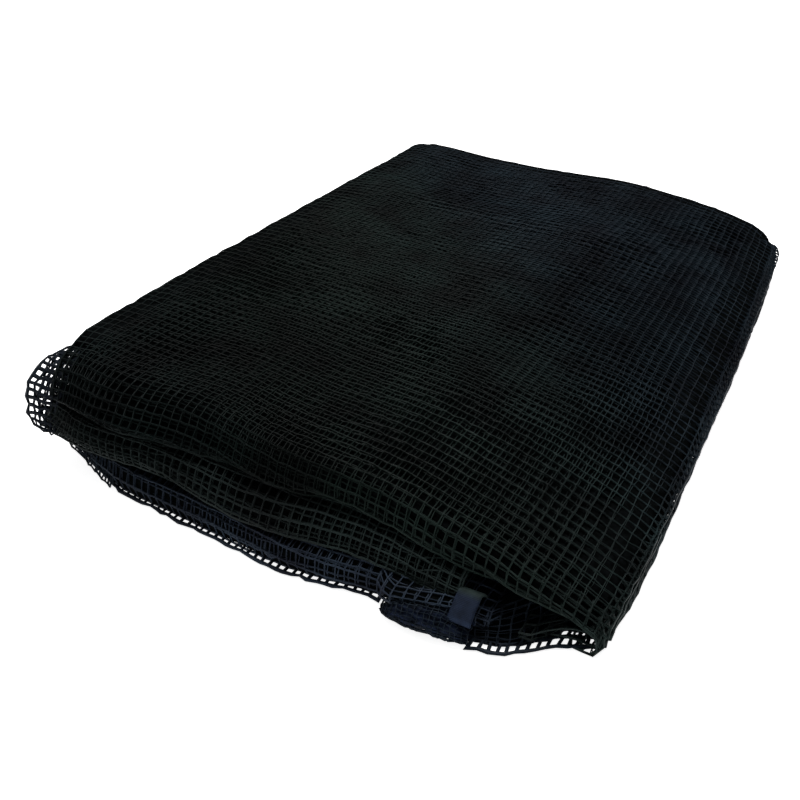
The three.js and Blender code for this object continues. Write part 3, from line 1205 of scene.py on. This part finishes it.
class FOLDEDNET_OT_lips(Operator):
    """Lays the middle lip and the lower lip, with the sheet that lies on the floor"""

    bl_idname = "folded_net.lips"
    bl_label = "Lower lips"

    def execute(self, context):
        sizes = context.scene.net_sizes
        length = sizes.mesh_length / MM
        pitch = sizes.mesh_width / MM
        for name, upper, lower, short, under_rows, lighting in LIPS:
            share = columns_for(WIDTH - short, pitch)
            for ply in range(PLIES):
                shift = LIP_SHIFT[ply] * (share[1] - share[0])
                line = ClothLine((upper, lower), "front", share + shift)
                last, first = line.ends[upper], line.starts[lower]
                rng = np.random.default_rng(sizes.seed + 10 * upper + ply)
                turn_rows = round(float(np.mean(first - last)) / length)
                under = under_rows if ply == 0 else LIP_UNDER_ROWS
                end = line.ends[lower] if under == FLOOR_ROWS else first + under * length
                slip = LIP_SLIP[ply] * length
                rows = [last + slip - length * k for k in range(LIP_BACK_ROWS, 0, -1)]
                rows += evenly(last + slip, first + slip, turn_rows)
                rows += evenly(first + slip, end, under)
                grid = line.at(rows)
                if lower == 1:
                    grid = over_tape(grid)
                outward = (0.8 - 1.2 * ply) * sizes.ply_gap / MM
                points = lay_unevenly(grid, rng, outward, LIP_WANDER, LIP_WANDER, LIP_LOOSE)
                points = above_floor(points)
                bm = bmesh.new()
                add_net(bm, points, sizes, *LIP_YARN)
                if lower == 1 and ply == 0:
                    self.add_fringe(bm, points, rng, sizes)
                finish_net(bm, context, f"{name}_ply_{ply + 1}", lighting)
        self.lay_cheek(context, sizes)
        self.lay_flap(context, sizes)
        return {"FINISHED"}

    def add_fringe(self, bm, points, rng, sizes):
        """A row of meshes on the floor along the lower lip's foot, and the loop of cord."""
        edge = points[points[..., 1].argmin(axis=0), np.arange(points.shape[1])]
        x = np.arange(*FRINGE_PLACES)
        foot = np.interp(x, edge[:, 0], edge[:, 1])
        foot = foot + FRINGE_LEFT[0] * (1 - ease(x, *FRINGE_LEFT[1:]))
        foot = foot + FRINGE_RIGHT[0] * ease(x, *FRINGE_RIGHT[1:])
        add_rim(bm, x, foot, FRINGE_BACK, rng, FRINGE_WANDER, sizes)
        add_loop(bm, *CORD_LOOP)

    def lay_flap(self, context, sizes):
        """A loose flap of net on the floor, from under the strap end to the near corner."""
        rng = np.random.default_rng(sizes.seed + 80)
        bm = bmesh.new()
        share = np.linspace(0, 1, 13)
        for ply in range(2):
            grid = flap_points(7, share, RIM_HEIGHT * ply)
            add_net(bm, grid + rng.uniform(-FLAP_LOOSE, FLAP_LOOSE, grid.shape), sizes, *FLAP_YARN)
        for start, columns, places in FLAP_RIMS:
            share = np.linspace(start, 1, columns)
            x, back = curve(FLAP, 1)(share), curve(FLAP, 2)(share)
            add_rim(bm, x, FRONT + back, places, rng, FLAP_WANDER, sizes)
        band = tape_points(np.linspace(0, 1, 18), np.linspace(*BAND_SPAN, 12), BAND_GAP)
        stray = rng.uniform(-BAND_LOOSE, BAND_LOOSE, band.shape)
        add_net(bm, band + stray, sizes, *BAND_YARN)
        finish_net(bm, context, "corner_flap", "shaded")

    def lay_cheek(self, context, sizes):
        """The rim of loose loops at the left front corner, and its edge down to the floor."""
        bm = bmesh.new()
        rng = np.random.default_rng(sizes.seed + 60)
        grid = cheek_points(15, 6)
        stray = rng.uniform(-LOOP_LOOSE, LOOP_LOOSE, grid.shape)
        add_net(bm, grid + stray, sizes, *LOOP_YARN)
        grid = cheek_points(12, 6)[:, :5] + np.array(UNDER_LOOP_SHIFT)
        stray = rng.uniform(-UNDER_LOOP_LOOSE, UNDER_LOOP_LOOSE, grid.shape)
        add_net(bm, grid + stray, sizes, *UNDER_LOOP_YARN)
        share = np.linspace(0, 1, 20)
        edge = np.stack([curve(SKIRT, k)(share) for k in (1, 2, 3)], axis=-1)
        for ply in range(2):
            rise = np.linspace(0, 1, 3)[:, None, None] * np.array(SKIRT_RISE) + SKIRT_GAP * ply
            grid = edge[None] + rise
            stray = rng.uniform(-SKIRT_LOOSE, SKIRT_LOOSE, grid.shape)
            add_net(bm, grid + stray, sizes, *SKIRT_YARN)
        finish_net(bm, context, "corner_loops", "shaded")


class FOLDEDNET_OT_edges(Operator):
    """Lays the edges of the sheets between, which show at the sides and at the back"""

    bl_idname = "folded_net.edges"
    bl_label = "Inner edges"

    def execute(self, context):
        sizes = context.scene.net_sizes
        step = sizes.mesh_width / MM / INNER_WIDTH
        meshes = np.arange(EDGE_MESHES + 1) * step
        self.lay_side(context, "left_edges", meshes, sizes.seed + 4)
        self.lay_side(context, "right_edges", RIGHT_START - meshes, sizes.seed + 5)
        self.lay_back(context, step, sizes.seed + 40)
        return {"FINISHED"}

    def add_strip(self, bm, grid, rng, sizes):
        """A strip of net along the edges of some sheets."""
        points = lay_unevenly(grid, rng, 0, EDGE_WANDER, EDGE_WANDER, EDGE_LOOSE)
        add_net(bm, points, sizes)

    def lay_side(self, context, name, share, seed):
        """The sheets' edges on one side, in two runs that follow the folds."""
        sizes = context.scene.net_sizes
        rng = np.random.default_rng(seed)
        bm = bmesh.new()
        for order, heading in EDGE_RUNS:
            line = ClothLine(order, heading, share)
            end = line.lengths[-1]
            count = round(float(end.mean()) / (sizes.mesh_length / MM))
            rows = evenly(line.lengths[0], end, count) + [end]
            self.add_strip(bm, line.at(rows), rng, sizes)
        # The edges' yarn carries painted shade.
        finish_net(bm, context, name, "sheltered")

    def lay_back(self, context, step, seed):
        """The sheets' turns at the back, and the end of the second sheet."""
        sizes = context.scene.net_sizes
        length = sizes.mesh_length / MM
        share = np.linspace(*BACK_SPAN, round(BACK_SHARE / step) + 1)
        rng = np.random.default_rng(seed)
        bm = bmesh.new()
        for first, last, turn_rows in BACK_TURNS:
            line = ClothLine((first, last), "back", share)
            rows = [line.ends[first] - length * k for k in range(BACK_ROWS, 0, -1)]
            rows += evenly(line.ends[first], line.starts[last], turn_rows)
            rows += [line.starts[last] + length * k for k in range(BACK_ROWS + 1)]
            self.add_strip(bm, line.at(rows), rng, sizes)
        line = ClothLine((2,), "back", share)
        rows = [line.ends[2] - length * k for k in range(BACK_ROWS, -1, -1)]
        self.add_strip(bm, line.at(rows), rng, sizes)
        # The edges' yarn carries painted shade.
        finish_net(bm, context, "back_edges", "sheltered")


class FOLDEDNET_OT_inner(Operator):
    """Lays the inner plies, which are only seen as darkness through the outer net"""

    bl_idname = "folded_net.inner"
    bl_label = "Inner plies"

    def execute(self, context):
        bm = bmesh.new()
        self.lay_between(bm)
        self.line_lips(bm)
        self.line_top(bm)
        add_grid(bm, above_floor(flap_points(9, np.linspace(0, 0.97, 13), 4)))
        area = area_of(bm)
        thicken(bm, INNER_THICK * MM)
        material = material_of("close plies of black mesh", close_plies)
        piece = finish_piece(bm, "inner_plies", material)
        declare(piece, "net")
        return {"FINISHED"}

    def lay_between(self, bm):
        """The sheets inside the lips, a little short of their ends."""
        share = np.linspace(*INNER_SPAN, INNER_COLUMNS)
        for first, last in INNER_TURNS:
            line = ClothLine((first, last), "front", share)
            start, end = line.lengths[0] + INNER_SHORT, line.lengths[-1] - INNER_SHORT
            rows = evenly(start, line.ends[first], INNER_ROWS)
            rows += evenly(line.ends[first], line.starts[last], INNER_TURN_ROWS)
            rows += evenly(line.starts[last], end, INNER_ROWS) + [end]
            grid = line.at(rows)
            add_grid(bm, round_corners(over_tape(grid) if first < LIP_SHEETS else grid))
        for sheet in INNER_SHEETS:
            line = ClothLine((sheet,), "back", share)
            end = line.lengths[-1] - INNER_SHORT
            grid = line.at(evenly(line.lengths[0], end, INNER_ROWS) + [end])
            add_grid(bm, round_corners(over_tape(grid) if sheet == LIP_SHEETS else grid))

    def line_lips(self, bm):
        """The plies close behind each lip's net."""
        for upper, lower, left, right in LININGS:
            share = np.linspace(left, right, INNER_COLUMNS)
            line = ClothLine((upper, lower), "front", share)
            last, first = line.ends[upper], line.starts[lower]
            rows = [last - 40, last - 20] + evenly(last, first, INNER_TURN_ROWS)
            rows += [first, first + 20]
            inward = np.minimum(LINING_DEPTH, 0.2 * (first - last) / math.pi * 2)
            inward = np.broadcast_to(inward, (len(rows), INNER_COLUMNS))
            if upper == LIP_SHEETS:
                inward = inward * mix(1, 0.2, ease(np.arange(len(rows)), 4, 8))[:, None]
                inward = inward + LINING_DEPTH * ease(share, 0.82, 0.88)
            rng = np.random.default_rng(1)
            grid = lay_unevenly(line.at(rows), rng, -inward[..., None], 0, 0, 0)
            grid = over_tape(grid) if upper == LIP_SHEETS else grid
            add_grid(bm, above_floor(grid, 1.4))

    def line_top(self, bm):
        """The plies close under the top net, down the pack's sides and round its back."""
        line = ClothLine((11, 12, 9), "back", np.linspace(0.001, 0.998, INNER_COLUMNS))
        last, first = line.ends[11], line.starts[12]
        rows = [last - 30] + evenly(last, first, 6) + evenly(first, line.ends[12], 40)
        grid = roll_left(roll_down(line.at(rows), 10, 4.5), 3, 9)
        columns = np.arange(grid.shape[1])
        ends = np.minimum(columns - 3, columns[::-1] - 10)
        inset = np.minimum(ease(np.arange(len(rows)), 6, 12)[:, None], ease(ends, 1, 4)[None])
        inset = mix(*TOP_INSET, inset)[..., None]
        grid = lay_unevenly(grid, np.random.default_rng(1), -inset, 0, 0, 0)
        add_grid(bm, above_floor(grid))


class FOLDEDNET_OT_tape(Operator):
    """Lays the doubled end of border tape on the floor in front of the lower lip"""

    bl_idname = "folded_net.tape"
    bl_label = "Border tape"

    def execute(self, context):
        sizes = context.scene.trim_sizes
        points = tape_points(np.linspace(0, 1, 41), np.linspace(0, 1, 29), 0)
        rng = np.random.default_rng(3)
        puckers = soft_noise(rng, points.shape[:2], (6, 9))
        puckers = puckers + 0.6 * soft_noise(rng, points.shape[:2], (9, 20))
        points[..., 1] += TAPE_PUCKER * puckers
        points[..., 2] += puckers
        points = above_floor(points, sizes.tape_thick / MM / 2)
        width, length = TAPE_WIDTH * MM, TAPE_OVER * MM
        bm, area = woven_mesh(points, (width, length), sizes.tape_thick)
        colour = tuple(sizes.tape_colour)
        # Painted highlight: paler along the front of the tape's rounded turn.
        pale = tuple(1.9 * c for c in colour)
        stops = [(0.3, colour), (0.5, pale), (0.75, colour)]
        material = woven_band("woven polyester border tape", stops, length, *TAPE_WEAVE)
        piece = finish_piece(bm, "border_tape_fold", material)
        declare(piece, "border_tape")
        return {"FINISHED"}


class FOLDEDNET_OT_strap(Operator):
    """Lays the end of the webbing strap that slopes out from under the upper lip"""

    bl_idname = "folded_net.strap"
    bl_label = "Strap end"

    def execute(self, context):
        sizes = context.scene.trim_sizes
        rows = np.array(TAB_LINE, float)
        lengths = np.concatenate([[0], np.cumsum(np.linalg.norm(np.diff(rows, axis=0), axis=1))])
        table = [(d / lengths[-1], y, z) for d, (y, z) in zip(lengths, rows)]
        share = np.linspace(0, 1, 31)
        across = np.linspace(0, 1, 9)
        points = np.empty((len(share), len(across), 3))
        points[..., 0] = TAB_LEFT + TAB_WIDTH * across
        points[..., 1] = curve(table, 1)(share)[:, None]
        points[..., 2] = curve(table, 2)(share)[:, None]
        width, length = TAB_WIDTH * MM, lengths[-1] * MM
        bm, area = woven_mesh(points, (width, length), sizes.strap_thick)
        face = tuple(sizes.strap_colour)
        # Painted highlights: paler up to the bend at the top of the strap end, and along the rim at
        # its lower end.
        pale = tuple(sizes.bend_highlight)
        rim = tuple(1.7 * c for c in face)
        stops = [(0.3, pale), (0.5, pale), (0.6, face), (0.9, face), (0.96, rim)]
        material = woven_band("woven polyester webbing", stops, length, *STRAP_WEAVE)
        piece = finish_piece(bm, "strap_end", material)
        declare(piece, "webbing_tab")
        return {"FINISHED"}


class FOLDEDNET_OT_stage(Operator):
    """Lays the pale floor and sets the light and the camera"""

    bl_idname = "folded_net.stage"
    bl_label = "Stage"

    def execute(self, context):
        sizes = context.scene.stage_sizes
        # Matt paint that is lit evenly, so that it reads as a plain pale ground.
        material, tree = new_material("pale painted floor")
        shader = add_node(
            tree,
            "ShaderNodeBsdfPrincipled",
            {
                "Base Color": (*sizes.floor, 1),
                "Roughness": 0.9,
                "Specular IOR Level": 0.1,
                "Emission Color": (1, 1, 1, 1),
                "Emission Strength": 0.85,
            },
        )
        add_node(tree, "ShaderNodeOutputMaterial", {"Surface": shader.outputs["BSDF"]})
        bm = bmesh.new()
        bmesh.ops.create_grid(bm, x_segments=1, y_segments=1, size=FLOOR_SIZE)
        bmesh.ops.translate(bm, verts=bm.verts[:], vec=(0, 0, -FLOOR_DROP))
        finish_piece(bm, "floor", material)
        world = bpy.data.worlds.new("studio")
        world.use_nodes = True
        background = world.node_tree.nodes["Background"]
        background.inputs["Color"].default_value = (1, 1, 1, 1)
        background.inputs["Strength"].default_value = STUDIO_LIGHT
        context.scene.world = world
        for name, place, power in (
            ("top light", TOP_LIGHT, sizes.key_power),
            ("left light", LEFT_LIGHT, sizes.fill_power),
        ):
            light = bpy.data.lights.new(name, "AREA")
            light.size = LIGHT_SIZE
            light.energy = power
            lamp = bpy.data.objects.new(name, light)
            lamp.location = place
            lamp.rotation_euler = (-Vector(place)).to_track_quat("-Z", "Y").to_euler()
            context.scene.collection.objects.link(lamp)
        camera = bpy.data.objects.new("camera", bpy.data.cameras.new("camera"))
        camera.data.lens = sizes.lens
        camera.data.sensor_width = SENSOR_WIDTH
        camera.location = CAMERA_PLACE
        camera.rotation_euler = (math.radians(90 - CAMERA_DOWN), 0, math.radians(CAMERA_TURN))
        context.scene.collection.objects.link(camera)
        context.scene.camera = camera
        context.scene.view_settings.view_transform = "Standard"
        return {"FINISHED"}


OPERATORS = (
    FOLDEDNET_OT_inner,
    FOLDEDNET_OT_edges,
    FOLDEDNET_OT_lips,
    FOLDEDNET_OT_top,
    FOLDEDNET_OT_tape,
    FOLDEDNET_OT_strap,
    FOLDEDNET_OT_stage,
)


class FOLDEDNET_PT_panel(Panel):
    """The steps of the folded net, in order"""

    bl_idname = "FOLDEDNET_PT_panel"
    bl_label = "Folded safety net"
    bl_space_type = "VIEW_3D"
    bl_region_type = "UI"
    bl_category = "Net"

    def draw(self, context):
        for operator in OPERATORS:
            self.layout.operator(operator.bl_idname)


CLASSES = (NetSizes, TrimSizes, StageSizes, *OPERATORS, FOLDEDNET_PT_panel)


def register():
    for cls in CLASSES:
        bpy.utils.register_class(cls)
    bpy.types.Scene.net_sizes = PointerProperty(type=NetSizes)
    bpy.types.Scene.trim_sizes = PointerProperty(type=TrimSizes)
    bpy.types.Scene.stage_sizes = PointerProperty(type=StageSizes)


def unregister():
    del bpy.types.Scene.stage_sizes
    del bpy.types.Scene.trim_sizes
    del bpy.types.Scene.net_sizes
    for cls in reversed(CLASSES):
        bpy.utils.unregister_class(cls)


def main():
    register()
    bpy.ops.folded_net.inner()
    bpy.ops.folded_net.edges()
    bpy.ops.folded_net.lips()
    bpy.ops.folded_net.top()
    bpy.ops.folded_net.tape()
    bpy.ops.folded_net.strap()
    bpy.ops.folded_net.stage()


if __name__ == "__main__":
    main()
